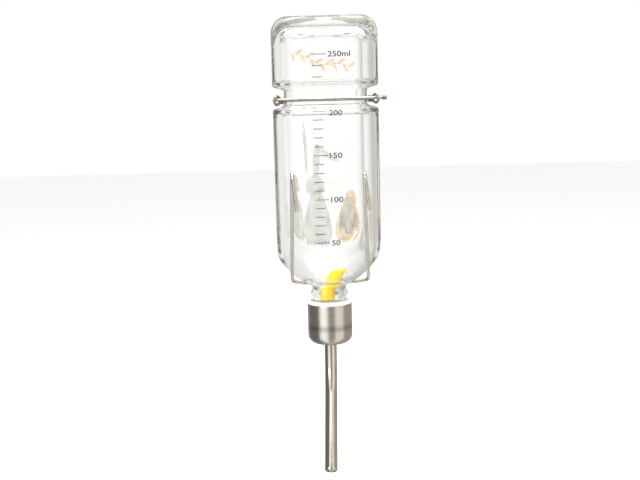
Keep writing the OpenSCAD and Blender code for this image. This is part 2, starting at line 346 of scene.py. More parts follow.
def walk(outline):
    """The outline as a plain path, in height and distance from the axis, used for its spacing."""
    reach = np.minimum(outline[:, 1], outline[:, 2]) * outline[:, 3]
    return np.stack([outline[:, 0], reach], axis=1)


def even(outline, step):
    """The outline sampled evenly along its path."""
    run = distance_along(walk(outline))
    return sampled(outline, run, np.linspace(0, run[-1], int(run[-1] / step)))


def station_sizes(outline):
    """Spacing in mm: wide on the plain walls, fine in the groove, on the shoulder and the thread."""
    height = outline[:, 0]
    size = np.full(len(height), 2.4)
    size = np.where(np.abs(height - groove_z) < 11, 0.62, size)
    size = np.where(height < plain_end, 1.15, size)
    size = np.where(height < -55, 0.55, size)
    size = np.where(height > 66, 0.95, size)
    return blurred(size[:, None], 1.0, OUTLINE_STEP)[:, 0]


def settle(outline, width):
    """An evenly spaced outline with its corners rounded, then thinned where it is plain."""
    dense = blurred(even(outline, OUTLINE_STEP), width, OUTLINE_STEP)
    sizes = station_sizes(dense)
    steps = np.linalg.norm(np.diff(walk(dense), axis=0), axis=1)
    weight = np.concatenate([[0], np.cumsum(steps / ((sizes[1:] + sizes[:-1]) / 2))])
    return sampled(dense, weight, np.linspace(0, weight[-1], int(weight[-1]) + 1))


def on_axis(radius, angle, height):
    """Points at that radius, angle and height about the bottle's axis."""
    ring = [axis_x + radius * np.cos(angle), axis_y + radius * np.sin(angle), height + 0 * radius]
    return np.stack(ring, axis=-1)


def glass_rings(outline, corner_less, threaded, blend):
    """Rings of points. At each station the square is cut by the round form and scaled."""
    height, half, round_radius, scale = (outline[:, k, None] for k in range(4))
    corner = np.maximum(half - corner_less, 2.5)
    radius = soft_min(square_radius(theta[None, :], half, corner), round_radius, blend)
    if threaded:
        radius = radius + 0.8 * thread_ridge(theta[None, :], height)
    return on_axis(radius * scale, theta, height)


outer_rings = glass_rings(settle(outside, 0.55), half_body - corner_out, True, 2.2)
inner_rings = glass_rings(settle(inside, 0.8), half_in - 8.0, False, 3.0)
bottle = surface("bottle", np.concatenate([outer_rings, inner_rings]))

# %% [markdown]
# Plain finishes come from one recipe: a colour that wanders between two shades, a bump, and for
# metal a sheen that varies too. Clear glass is a shader, not a colour. The surface bends light by
# glass's index of 1.52, and the volume takes away a little of it, blue most, which shows as a faint
# olive grey where one looks along a thick base. Two soft noises tilt the surface by a hair, as in
# moulded glass: long waves from the mould and a finer ripple. Rays that look for a lamp pass
# straight through, so that the glass doesn't shade what it holds.

# %% Materials: the helpers and the glass
EVEN = (1, 1, 1)


def dial(node, settings):
    """Sets several inputs of a node, each given by its name."""
    for name, value in settings.items():
        node.inputs[name].default_value = value


def new_material(name, base, metallic=0.0, roughness=0.4):
    """A material with a Principled shader. Returns the material, its nodes and the shader."""
    material = bpy.data.materials.new(name)
    material.use_nodes = True
    nodes = material.node_tree.nodes
    shader = nodes["Principled BSDF"]
    dial(shader, {"Base Color": (*base, 1), "Metallic": metallic, "Roughness": roughness})
    material.diffuse_color = (*base, 1)
    return material, nodes, shader


def place_noise(material, size_mm, stretch=(1, 1, 1), detail=3.0, source="Object"):
    """A noise texture with features of about size_mm, stretched along the axes."""
    nodes, links = material.node_tree.nodes, material.node_tree.links
    place = nodes.new("ShaderNodeTexCoord")
    turn = nodes.new("ShaderNodeMapping")
    turn.inputs["Scale"].default_value = stretch
    noise = nodes.new("ShaderNodeTexNoise")
    dial(noise, {"Scale": 1 / (size_mm * MM) if source == "Object" else size_mm, "Detail": detail})
    links.new(place.outputs[source], turn.inputs["Vector"])
    links.new(turn.outputs["Vector"], noise.inputs["Vector"])
    return noise.outputs["Fac"]


def add_bump(material, value, height_mm, strength=1.0):
    """Adds a bump of that height to the shader, on top of any bump that is there."""
    nodes, links = material.node_tree.nodes, material.node_tree.links
    shader = nodes["Principled BSDF"]
    bump = nodes.new("ShaderNodeBump")
    dial(bump, {"Distance": height_mm * MM, "Strength": strength})
    links.new(value, bump.inputs["Height"])
    if shader.inputs["Normal"].is_linked:
        links.new(shader.inputs["Normal"].links[0].from_socket, bump.inputs["Normal"])
    links.new(bump.outputs["Normal"], shader.inputs["Normal"])


def blend_colour(material, value, low, high, start=0.3, end=0.7):
    """Base colour between low and high, as value goes from start to end."""
    nodes, links = material.node_tree.nodes, material.node_tree.links
    ramp = nodes.new("ShaderNodeValToRGB")
    for element, position, colour in zip(ramp.color_ramp.elements, (start, end), (low, high)):
        element.position = position
        element.color = (*colour, 1)
    links.new(value, ramp.inputs["Fac"])
    links.new(ramp.outputs["Color"], nodes["Principled BSDF"].inputs["Base Color"])


def vary_roughness(material, value, low, high):
    """Roughness between low and high, following value."""
    nodes, links = material.node_tree.nodes, material.node_tree.links
    spread = nodes.new("ShaderNodeMapRange")
    dial(spread, {"From Min": 0.3, "From Max": 0.7, "To Min": low, "To Max": high})
    links.new(value, spread.inputs["Value"])
    links.new(spread.outputs["Result"], nodes["Principled BSDF"].inputs["Roughness"])


def mottled(name, base, low, high, patches, bump, span=(0.3, 0.7), sheen=None, **look):
    """A material whose colour wanders from low to high. patches is the colour noise's size in mm,
    stretch and detail; bump is a noise size, its detail, a height in mm and a strength; sheen is a
    noise size, its detail and two roughnesses."""
    material, _, shader = new_material(name, base, **look)
    blend_colour(material, place_noise(material, *patches), low, high, *span)
    if sheen:
        vary_roughness(material, place_noise(material, sheen[0], detail=sheen[1]), *sheen[2:])
    add_bump(material, place_noise(material, bump[0], detail=bump[1]), *bump[2:])
    return material, shader


def band_at(material, height, half_tall):
    """A value that is 1 at a height in mm and fades to 0 half_tall above and below it."""
    nodes, links = material.node_tree.nodes, material.node_tree.links
    place, split_up = nodes.new("ShaderNodeTexCoord"), nodes.new("ShaderNodeSeparateXYZ")
    links.new(place.outputs["Object"], split_up.inputs["Vector"])
    value = split_up.outputs["Z"]
    for operation, number in (("SUBTRACT", height * MM), ("ABSOLUTE", 0.0), ("DIVIDE", half_tall * MM),
                              ("SUBTRACT", 1.0), ("MULTIPLY", -1.0), ("MAXIMUM", 0.0)):
        step = nodes.new("ShaderNodeMath")
        step.operation = operation
        links.new(value, step.inputs[0])
        step.inputs[1].default_value = number
        value = step.outputs[0]
    return value


def darken(material, value, share):
    """Multiplies the base colour by share where value is 1."""
    nodes, links = material.node_tree.nodes, material.node_tree.links
    socket = nodes["Principled BSDF"].inputs["Base Color"]
    shade = nodes.new("ShaderNodeMix")
    shade.data_type, shade.blend_type = "RGBA", "MULTIPLY"
    links.new(value, shade.inputs["Factor"])
    links.new(socket.links[0].from_socket, shade.inputs["A"])
    shade.inputs["B"].default_value = (share, share, share, 1)
    links.new(shade.outputs["Result"], socket)


def finish_with(piece, material):
    """The piece wears this material alone."""
    piece.data.materials.clear()
    piece.data.materials.append(material)


glass, glass_nodes, glass_shader = new_material("moulded_glass", (0.995, 1.0, 0.998), roughness=0.0)
dial(glass_shader, {"Transmission Weight": 1.0, "IOR": 1.52})
absorb = glass_nodes.new("ShaderNodeVolumeAbsorption")
dial(absorb, {"Color": (0.60, 0.61, 0.50, 1), "Density": 9.0})
glass_links, glass_output = glass.node_tree.links, glass_nodes["Material Output"]
glass_links.new(absorb.outputs["Volume"], glass_output.inputs["Volume"])
lamp_rays = glass_nodes.new("ShaderNodeLightPath")
clear = glass_nodes.new("ShaderNodeBsdfTransparent")
either = glass_nodes.new("ShaderNodeMixShader")
glass_links.new(lamp_rays.outputs["Is Shadow Ray"], either.inputs["Fac"])
glass_links.new(glass_shader.outputs["BSDF"], either.inputs[1])
glass_links.new(clear.outputs["BSDF"], either.inputs[2])
glass_links.new(either.outputs["Shader"], glass_output.inputs["Surface"])
add_bump(glass, place_noise(glass, 26, (1, 1, 0.35), detail=1.0), 0.55)
add_bump(glass, place_noise(glass, 7, (1, 1, 0.5), detail=1.5), 0.03)
finish_with(bottle, glass)
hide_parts("bottle_glass")
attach(bottle, "bottle")
print("glass: index", glass_shader.inputs["IOR"].default_value)

# %% [markdown]
# ## The printed scale
# The scale is screen-printed ink, a few hundredths of a millimetre thick, on the front face. It
# could be painted with a texture, but ink that is its own thin layer stays crisp at any size and
# moves with the bottle. The long marks are 50 ml apart and carry numbers; the short ones are
# 10 ml apart. No marks fall in the groove.

# %% Scale marks
INK_THICK = 0.03
INK_GAP = 0.004
mark_heights = {250: 63.2, 200: 34.2, 150: 11.1, 100: -12.0, 50: -34.8}


def mark_height(volume):
    """Height of a mark, in straight lines between the numbered ones."""
    known = np.array(sorted(mark_heights))
    return np.interp(volume, known, np.array([mark_heights[v] for v in known]))


def slabs(name, low, high):
    """Thin boxes, one for each row of low and high corners."""
    low, high = np.asarray(low, float), np.asarray(high, float)
    pick = np.array([[0, 0, 0], [1, 0, 0], [1, 1, 0], [0, 1, 0],
                     [0, 0, 1], [1, 0, 1], [1, 1, 1], [0, 1, 1]])
    points = np.where(pick[None], high[:, None], low[:, None]).reshape(-1, 3)
    sides = np.array([[0, 3, 2, 1], [4, 5, 6, 7], [0, 1, 5, 4], [1, 2, 6, 5], [2, 3, 7, 6], [3, 0, 4, 7]])
    faces = (sides[None] + 8 * np.arange(len(low))[:, None, None]).reshape(-1, 4)
    mesh = bpy.data.meshes.new(name)
    mesh.from_pydata((points * MM).tolist(), [], faces.tolist())
    return add_object(name, mesh)


volumes = np.arange(50, 251, 10)
volumes = volumes[(volumes <= 200) | (volumes >= 230)]
is_long = volumes % 50 == 0
mark_z = mark_height(volumes)
ink_back = front_y + skin - INK_GAP
half_mark = 0.19
mark_left = np.full(len(volumes), -7.0)
mark_right = np.where(is_long, 0.35, -1.9)
mark_low = np.stack([mark_left, np.full(len(volumes), ink_back - INK_THICK), mark_z - half_mark], axis=1)
mark_high = np.stack([mark_right, np.full(len(volumes), ink_back), mark_z + half_mark], axis=1)
scale_marks = slabs("scale_marks", mark_low, mark_high)
print("scale marks:", len(volumes))

# %% [markdown]
# The numbers are text objects, because Blender's own plain font is close to the printed one.
# Each becomes a mesh first and is placed afterwards, point by point, so that the finished piece
# sits at the origin like every other. The 200 stands a little lower than its mark, clear of the
# groove's lip.

# %% Scale numbers
def number_piece(words, left, bottom, width, tall):
    """A flat word of that width and height, standing on the front face."""
    curve = bpy.data.curves.new("number", "FONT")
    curve.body = words
    curve.extrude = 0.5
    curve.resolution_u = 6
    curve.offset = 0.016
    drawn = add_object("number", curve)
    graph = bpy.context.evaluated_depsgraph_get()
    mesh = bpy.data.meshes.new_from_object(drawn.evaluated_get(graph))
    bpy.data.objects.remove(drawn)
    points = np.empty(len(mesh.vertices) * 3, np.float32)
    mesh.vertices.foreach_get("co", points)
    points = points.reshape(-1, 3).astype(float)
    low, high = points.min(0), points.max(0)
    share = (points - low) / (high - low)
    placed = np.stack([left + share[:, 0] * width, ink_back - share[:, 2] * INK_THICK,
                       bottom + share[:, 1] * tall], axis=1)
    mesh.vertices.foreach_set("co", (placed * MM).astype(np.float32).reshape(-1))
    mesh.update()
    return add_object("number_" + words, mesh)


number_tall = 2.9
number_widths = {250: 11.6, 200: 6.9, 150: 6.5, 100: 6.5, 50: 4.4}
number_drops = {200: 1.0}
numbers = [number_piece(f"{volume}ml" if volume == 250 else str(volume), 1.3,
                        height - number_tall / 2 - number_drops.get(volume, 0.0),
                        number_widths[volume], number_tall)
           for volume, height in mark_heights.items()]
scale_numbers = join("scale_numbers", numbers)

ink, _ = mottled("grey_ink", (0.07, 0.065, 0.06), (0.055, 0.05, 0.047), (0.115, 0.105, 0.095),
                 (0.6, EVEN, 3), (0.25, 3, 0.01), roughness=0.5)
for print_piece in (scale_marks, scale_numbers):
    finish_with(print_piece, ink)
    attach(print_piece, "bottle")

# %% [markdown]
# ## The print on the rear face
# Pale animals and a gold flourish are printed on the back of the bottle and show through it. The
# drawings here are this lesson's own: two sitting rabbits, a guinea pig and a leafy sprig. Each
# patch of ink is an ellipsoid pressed flat, with a taper and a bend, so that one formula makes a
# body, a head, an ear, a tuft of fur or a leaf. The ink follows the glass round its corners.
# Patches of one colour are joined to one piece.

# %% Flat patches of ink
rear_half = theta[(theta > np.radians(30)) & (theta < np.radians(150))]
rear_radius = square_radius(rear_half, half_out, corner_out)
rear_x = axis_x + rear_radius * np.cos(rear_half)
rear_line = axis_y + rear_radius * np.sin(rear_half)


def on_rear(x, layer, swell):
    """Depth of ink at x, just outside the rear face and its corners; each layer covers the last."""
    return np.interp(x, rear_x[::-1], rear_line[::-1]) + (0.008 + 0.006 * layer + 0.004 * swell)


def patch(name, centre, reach, tilt=0.0, taper=0.0, bend=0.0, layer=0, point=1.0):
    """A flattened ellipsoid. taper narrows it upwards, bend curves it, point sharpens its ends."""
    down = np.linspace(0.03, np.pi - 0.03, 22)[:, None]
    round_ = around(40)[None, :]
    up = np.cos(down) + 0 * round_
    wide = np.sin(down) ** point
    x = reach[0] * wide * np.cos(round_) * (1 - taper * up) + bend * reach[1] * up ** 2
    z = reach[1] * up
    lean = np.radians(tilt)
    turned_x = centre[0] + x * np.cos(lean) + z * np.sin(lean)
    turned_z = centre[1] - x * np.sin(lean) + z * np.cos(lean)
    depth = on_rear(turned_x, layer, wide * np.sin(round_))
    return surface(name, np.stack([turned_x, depth, turned_z], axis=-1))


def tufts(name, left, right, bottom, count, tall):
    """Points of fur along the lower edge of a body, each leaning its own way."""
    span = right - left
    return [patch(f"{name}_{k}",
                  (left + span * (k + 0.5) / count, bottom - tall * (0.4 + 0.12 * (-1) ** k)),
                  (0.42 * span / count, tall), tilt=8 * (-1) ** k, point=1.6) for k in range(count)]


rabbit_parts = [
    patch("body_big", (-5.2, -27.2), (7.0, 15.8), taper=0.5, point=0.5),
    patch("head_big", (-6.2, -8.8), (5.0, 6.0), taper=0.1, tilt=8),
    patch("muzzle_big", (-2.9, -11.2), (2.0, 2.4)),
    patch("ear_up", (-11.2, 13.2), (0.75, 14.5), tilt=-2, point=0.7),
    patch("ear_fold", (-5.0, 5.2), (1.9, 9.6), tilt=4, point=0.6),
    patch("ear_tip", (0.6, 9.0), (1.6, 8.2), tilt=126, bend=-0.16, point=0.9),
    patch("body_small", (-18.2, -26.9), (5.1, 14.2), taper=0.44, point=0.5),
    patch("head_small", (-19.0, -8.4), (3.4, 6.2), taper=0.1),
    patch("muzzle_small", (-16.5, -10.6), (1.6, 2.0)),
    *tufts("fur_small", -22.6, -13.4, -39.6, 5, 2.4), *tufts("fur_big", -12.0, 1.8, -41.4, 7, 2.4)]
rear_rabbits = join("rear_rabbits", rabbit_parts)
cavy_parts = [
    patch("cavy_body", (13.2, -28.6), (7.0, 12.6), taper=0.52, point=0.5),
    patch("cavy_head", (14.4, -17.0), (3.4, 5.2), taper=0.2), *tufts("cavy_fur", 6.6, 19.8, -39.8, 6, 2.2)]
rear_cavy = join("rear_cavy", cavy_parts)
cavy_patch = join("rear_cavy_patch", [
    patch("cavy_side", (12.7, -27.6), (5.4, 10.2), taper=0.45, layer=-1, point=0.6),
    patch("cavy_cheek", (11.9, -18.6), (1.5, 2.6), layer=-1)])

# %% [markdown]
# The gold flourish is a stem that waves like a sine curve, with pointed leaves on either side. It
# stands for the decoration of the real bottle without writing anything.

# %% The gold sprig
def ribbon(name, start, end, wave, cycles, wide):
    """A flat ribbon whose middle line is a straight run plus a sine wave."""
    share = np.linspace(0, 1, 90)[:, None]
    round_ = around(10)[None, :]
    run = np.array(end, float) - np.array(start, float)
    side = np.array([-run[1], run[0]]) / np.hypot(*run)
    swing = wave * np.sin(TURN * cycles * share)
    wide_here = wide * (0.25 + 0.75 * np.sin(np.pi * share))
    across = swing + wide_here * np.cos(round_)
    x = start[0] + run[0] * share + side[0] * across
    z = start[1] + run[1] * share + side[1] * across
    return surface(name, np.stack([x, on_rear(x, 0, np.sin(round_)), z], axis=-1))


sprig_start, sprig_end = np.array([-18.6, 65.5]), np.array([17.0, 57.0])
stem_wave, stem_cycles = 1.5, 1.5
sprig = [ribbon("stem", sprig_start, sprig_end, stem_wave, stem_cycles, 0.34)]
leaf_share = np.linspace(0.04, 0.97, 12)
for number, share in enumerate(leaf_share):
    side = 1 if number % 2 else -1
    spot = sprig_start + (sprig_end - sprig_start) * share
    lift = stem_wave * np.sin(TURN * stem_cycles * share) + side * 1.7
    sprig.append(patch(f"leaf_{number}", (spot[0] + 0.3 * lift, spot[1] + 0.95 * lift), (0.8, 2.7),
                       tilt=107 - 45 * side, point=1.5))
rear_sprig = join("rear_sprig", sprig)

inks = [
    (rear_rabbits, "rabbit_ink", (0.6, 0.59, 0.55), (0.47, 0.465, 0.42), (0.73, 0.725, 0.68),
     (5.0, (1, 1, 0.45), 6), (0.34, 0.66), 0.6),
    (rear_cavy, "cavy_ink", (0.80, 0.52, 0.29), (0.70, 0.44, 0.17), (0.84, 0.66, 0.42),
     (3.0, (1, 1, 0.4), 6), (0.35, 0.65), 0.6),
    (cavy_patch, "cavy_grey_ink", (0.5, 0.5, 0.47), (0.46, 0.46, 0.44), (0.84, 0.83, 0.79),
     (2.0, (1, 1, 0.4), 6), (0.38, 0.6), 0.6),
    (rear_sprig, "gold_ink", (0.80, 0.51, 0.19), (0.72, 0.42, 0.13), (0.86, 0.62, 0.30),
     (1.2, EVEN, 4), (0.3, 0.7), 0.45)]
for art, name, base, low, high, patches, span, roughness in inks:
    art_ink, art_shader = mottled(name, base, low, high, patches, (0.3, 3, 0.01), span, roughness=roughness)
    dial(art_shader, {"Alpha": 0.5})
    finish_with(art, art_ink)
    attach(art, "bottle")
print("rear print: 4 colours")

# %% [markdown]
# ## Wires
# The hanger, the band and the cross rod are bright nickel-plated wire, cold bent. A bend is an
# arc between two straight stretches, so a wire is given by its corner points and bend radii, as
# on a bender's drawing. A curve object with a round bevel would do, but a grid swept along the
# same path gives clean rings and a map that runs along the wire.

# %% A wire along its corners
def bent_path(corners, bends, step=0.5):
    """Straight stretches joined by arcs. An arc touches both stretches beside its corner."""
    corners = np.asarray(corners, float)
    parts = [corners[:1]]
    for before, corner, after, bend in zip(corners[:-2], corners[1:-1], corners[2:], bends):
        into = (corner - before) / np.linalg.norm(corner - before)
        out = (after - corner) / np.linalg.norm(after - corner)
        turn = np.arccos(np.clip(into @ out, -1, 1))
        side = out - into * (into @ out)
        side /= np.linalg.norm(side)
        start = corner - into * bend * np.tan(turn / 2)
        angle = np.linspace(0, turn, max(int(turn * bend / step), 8))[:, None]
        parts.append(start + bend * (into * np.sin(angle) + side * (1 - np.cos(angle))))
    parts.append(corners[-1:])
    return spaced(np.concatenate(parts), step)


def frames(path, guide):
    """Two unit vectors across the path at each point, square to it and to each other."""
    ahead = np.gradient(path, axis=0)
    ahead /= np.linalg.norm(ahead, axis=1, keepdims=True)
    side = np.cross(ahead, np.asarray(guide, float) / np.linalg.norm(guide))
    side /= np.linalg.norm(side, axis=1, keepdims=True)
    return ahead, side, np.cross(ahead, side)


def sweep(path, radius, guide, sides=20):
    """Rings of a round bar of that radius, (n,) or a number, along the path."""
    _, side, up = frames(path, guide)
    angle = around(sides)
    wide = np.broadcast_to(np.asarray(radius, float), (len(path),))[:, None, None]
    ring = side[:, None] * np.cos(angle)[None, :, None] + up[:, None] * np.sin(angle)[None, :, None]
    return path[:, None] + wide * ring


def cut_wire(path, radius, guide, sides=20):
    """A wire with its ends cut and softly rounded over, as snips leave them."""
    rings = sweep(path, radius, guide, sides)
    curl = np.radians(np.array([10, 35, 60, 80]))[:, None, None]
    soft = 0.35 * radius
    ahead, _, _ = frames(path, guide)

    def end(ring, centre, direction):
        """Rings that shrink towards the end while they move along it."""
        outwards = ring - centre
        return centre + outwards * (1 - 0.35 * (1 - np.cos(curl))) + direction * soft * (np.sin(curl) - 1)

    first = end(rings[0], path[0], -ahead[0])[::-1]
    last = end(rings[-1], path[-1], ahead[-1])
    return np.concatenate([first, rings[1:-1], last])


hanger_r = 0.9
hook_r = 3.2
hook_x = 18.75
hook_z = box_mm("hanger_wire")[1][2] - hanger_r
leg_x = 20.1
leg_bottom = -54.4
cradle_r = 14.5
cradle_front_z = -57.7
cradle_back_z = -63.5
arm_y = 15.0
tip_z = -17.0
tip_kick = 2.2
hanger_corners = [
    (tip_kick - hook_x, -hook_r, tip_z), (-hook_x, -hook_r, hook_z), (-hook_x, hook_r, hook_z),
    (-leg_x, hook_r, leg_bottom), (-cradle_r, arm_y, cradle_front_z),
    (-cradle_r, axis_y + cradle_r, cradle_back_z),
    (cradle_r, axis_y + cradle_r, cradle_back_z),
    (cradle_r, arm_y, cradle_front_z), (leg_x, hook_r, leg_bottom),
    (hook_x, hook_r, hook_z), (hook_x, -hook_r, hook_z), (tip_kick + hook_x, -hook_r, tip_z)]
hanger_bends = [3.15, 3.15, 3, 9, 14.4, 14.4, 9, 3, 3.15, 3.15]
hanger_path = bent_path(hanger_corners, hanger_bends, 0.42)
hanger = surface("hanger", cut_wire(hanger_path, hanger_r, (1.0, 0.1, 1.0), 24))

# %% [markdown]
# The band's wire lies in the bottle's groove. At each front corner it turns out of the groove and
# closes to an eye, and its end is wound round its own shank, which is how a wire loop is locked
# without solder. The windings are a helix about the shank, so they need the shank's direction and
# a radius of two wire radii.

# %% The band with its eyes and windings
band_low, band_high = box_mm("band_wire")
band_r = 0.7
band_z = (band_low[2] + band_high[2]) / 2
band_half = 22.75
band_corner = 6.75
eye_turn = np.radians(38)
eye_r = 2.1
eye_x = 25.2
rod_y = -0.6
turn_y = rod_y + (eye_x - band_half) / np.tan(eye_turn)


def band_side(side):
    """Half of the band from its middle at the back to its eye, then round the eye."""
    outward = np.array([side * np.sin(eye_turn), -np.cos(eye_turn), 0.0])
    eye = np.array([side * eye_x, rod_y, band_z])
    start = eye - outward * eye_r
    back = [0.0, axis_y + band_half, band_z]
    corners = [back, (side * band_half, axis_y + band_half, band_z),
               (side * band_half, turn_y, band_z), start]
    shank = bent_path(corners, [band_corner, 4.0], 0.4)
    angle = np.linspace(0, 1.93 * np.pi, 56)[:, None]
    loop = eye - outward * eye_r * np.cos(angle) + np.array([0, 0, 1.0]) * eye_r * np.sin(angle)
    return shank, loop, outward


def winding(shank, side):
    """A helix of three turns about the last stretch of the shank, beside the eye."""
    near = shank[-13:-2]
    path = spaced(near, (len(near) - 1) * 0.4 / 110)
    _, across, up = frames(path, (0, 0, 1))
    angle = (TURN * 3.0 * np.arange(len(path)) / len(path))[:, None]
    return path + 1.32 * (across * np.sin(angle) * side + up * np.cos(angle)), path


band_parts = []
for side in (-1, 1):
    shank, loop, outward = band_side(side)
    band_parts.append(surface("shank", cut_wire(shank, band_r, (0, 0, 1), 18)))
    across = np.array([-outward[1], outward[0], 0.0])
    band_parts.append(surface("eye", cut_wire(loop, band_r, across, 18)))
    turns, core = winding(shank, side)
    band_parts.append(surface("winding", cut_wire(turns, band_r * 0.86, core[-1] - core[0], 14)))
band = join("band", band_parts)

# %% [markdown]
# The cross rod is drawn out sideways to free the bottle. Its right end carries a small crimped
# bead for the fingers. The bead is a lathe shape with four dents, where the crimping tool bit: its
# radius falls where the cosine of four times the angle is low.

# %% The cross rod and its bead
rod_low, rod_high = box_mm("cross_rod")
bead_low, bead_high = box_mm("rod_bead")
rod_r = (rod_high[2] - rod_low[2]) / 2
rod_z = (rod_high[2] + rod_low[2]) / 2
rod_path = spaced([(rod_low[0], rod_y, rod_z), (rod_high[0], rod_y, rod_z)], 0.5)
rod = surface("lock_rod", cut_wire(rod_path, rod_r, (0, 0, 1), 18))

bead_r = (bead_high[2] - bead_low[2]) / 2
bead_outline = np.array([[0, rod_r + 0.02], [0, bead_r - 0.3], [0.35, bead_r], [1.1, bead_r * 0.93],
                         [1.9, bead_r], [2.4, bead_r - 0.3], [2.4, rod_r + 0.02]])
bead_outline[:, 0] += bead_low[0]
bead_line = blurred(spaced(bead_outline, 0.08), 0.1, 0.08)
bead_angle = around(40)
dent = 1 - 0.06 * (0.5 - 0.5 * np.cos(4 * bead_angle)) ** 2
bead_radius = bead_line[:, 1, None] * dent
bead = surface("rod_bead_crimped", np.stack([
    np.broadcast_to(bead_line[:, :1], bead_radius.shape),
    rod_y + bead_radius * np.cos(bead_angle), rod_z + bead_radius * np.sin(bead_angle)], axis=-1))

# %% [markdown]
# Nickel plate is a warm, slightly dull mirror. Handling leaves a cloudy sheen on it, so two noises
# vary the colour and the roughness, and a third raises a faint bump. The band has a darker nickel,
# a metal of its own. The crimped bead is brassy.

# %% Nickel wire
nickel, _ = mottled("nickel_wire", (0.76, 0.71, 0.655), (0.70, 0.665, 0.61), (0.81, 0.78, 0.73),
                    (3.5, EVEN, 3), (1.4, 2, 0.005, 0.3), sheen=(2.0, 3, 0.16, 0.28),
                    metallic=1.0, roughness=0.22)
darker_nickel, _ = mottled("darker_nickel_wire", (0.42, 0.39, 0.35), (0.32, 0.29, 0.25), (0.54, 0.51, 0.46),
                         (1.6, EVEN, 4), (1.2, 2, 0.005, 0.3), sheen=(1.0, 3, 0.14, 0.26),
                         metallic=1.0, roughness=0.2)
bead_metal, _ = mottled("bead_metal", (0.30, 0.26, 0.13), (0.22, 0.19, 0.09), (0.40, 0.35, 0.20),
                        (0.7, EVEN, 4), (0.3, 3, 0.03, 0.6), metallic=0.85, roughness=0.36)
for wire_piece, node, body, metal, slot in (
        (hanger, "hanger_wire", "hanger", nickel, "nickel_wire"),
        (band, "band_wire", "bottle", darker_nickel, "nickel_wire"),
        (rod, "cross_rod", "lock_rod", nickel, "nickel_wire"),
        (bead, "rod_bead", "lock_rod", bead_metal, "bead_metal")):
    finish_with(wire_piece, metal)
    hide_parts(node)
    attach(wire_piece, body)
print("wires done, hanger length mm:", round(float(distance_along(hanger_path)[-1]), 1))

# %% [markdown]
# ## The cap
# The cap is two shells: a white moulded screw cap, and a steel cup pressed over it for looks. A
# lathe shape is an outline turned about the axis. The outline goes out along one face and back
# along the other, and closes on itself, so the wall has its true thickness everywhere.

# %% Lathe shapes on the bottle's axis
CAP_SIDES = 128
cap_angle = around(CAP_SIDES)


def lathe(name, outline, rounding, step=0.12, ridge=None, size=0.5):
    """A closed outline of (radius, height) turned about the axis, its corners rounded over."""
    outline = np.asarray(outline, float)
    line = spaced(np.vstack([outline, outline[:1]]), step)[:-1]
    line = blurred(line, rounding, step, closed=True)
    line = line[::max(int(size / step), 1)]
    radius = line[:, 0, None] + 0 * cap_angle
    height = line[:, 1, None] + 0 * cap_angle
    if ridge is not None:
        radius = radius + ridge(radius, height)
    return surface(name, on_axis(radius, cap_angle, height), joined=True)


shell_low, shell_high = box_mm("cap_shell")
shell_r = (shell_high[0] - shell_low[0]) / 2
flange_z = box_mm("cap_liner")[1][2]
shell_top = shell_high[2]
lip_z = shell_low[2]
shell_bottom = lip_z + 1.2
shell_edge = 5.2
shell_t = 0.6
tube_hole = 3.46


def inner_thread(radius, height):
    """The cap's own thread: a helix that stands in from the bore, between the neck's turns."""
    near_bore = np.clip(1 - np.abs(radius - 10.5) / 0.25, 0, 1)
    return -0.28 * near_bore * thread_ridge(cap_angle[None, :], height + thread_pitch / 2)


liner_outline = np.vstack([
    [[12.35, flange_z - 0.1], [12.35, shell_top + 0.04], [11.7, shell_top + 0.04], [11.7, -89.8]],
    arc((7.15, -89.8), 4.55, 0, -90, 14),
    [[tube_hole, -94.35], [tube_hole, -89.2], [5.55, -89.2], [5.55, -87.95], [10.5, -87.95],
     [10.5, flange_z], [12.2, flange_z]]])
liner = lathe("screw_cap", liner_outline, 0.16, ridge=inner_thread, size=0.36)
shell_outline = np.vstack([
    [[shell_r, shell_top], [shell_r, shell_bottom + shell_edge]],
    arc((shell_r - shell_edge, shell_bottom + shell_edge), shell_edge, 0, -90, 20),
    [[5.3, shell_bottom], [4.75, shell_bottom - 0.2], [4.4, lip_z + 0.1], [4.0, lip_z], [tube_hole, lip_z],
     [tube_hole, shell_bottom + shell_t]],
    arc((shell_r - shell_edge, shell_bottom + shell_edge), shell_edge - shell_t, -90, 0, 20),
    [[shell_r - shell_t, shell_top]]])
shell = lathe("steel_shell", shell_outline, 0.12, step=0.08, size=0.24)

# %% [markdown]
# The shell is brushed on a lathe: countless fine scratches run round it. They spread a reflection
# up and down but not sideways, which draws the tall soft streaks that brushed steel is known
# for. The shader's anisotropy does this with a tangent taken from the map, and a noise stretched
# round the cup gives the scratches themselves. A painted dark reflection darkens the colour in a
# band round the cup, a little above its rounded lower edge.

# %% Cap finishes
white_plastic, white_shader = mottled("white_cap_plastic", (0.86, 0.87, 0.87), (0.76, 0.76, 0.74),
                                      (0.83, 0.83, 0.81), (4, EVEN, 4), (0.5, 3, 0.01, 0.4), roughness=0.34)
dial(white_shader, {"Subsurface Weight": 0.15, "Subsurface Radius": (0.002, 0.002, 0.002)})

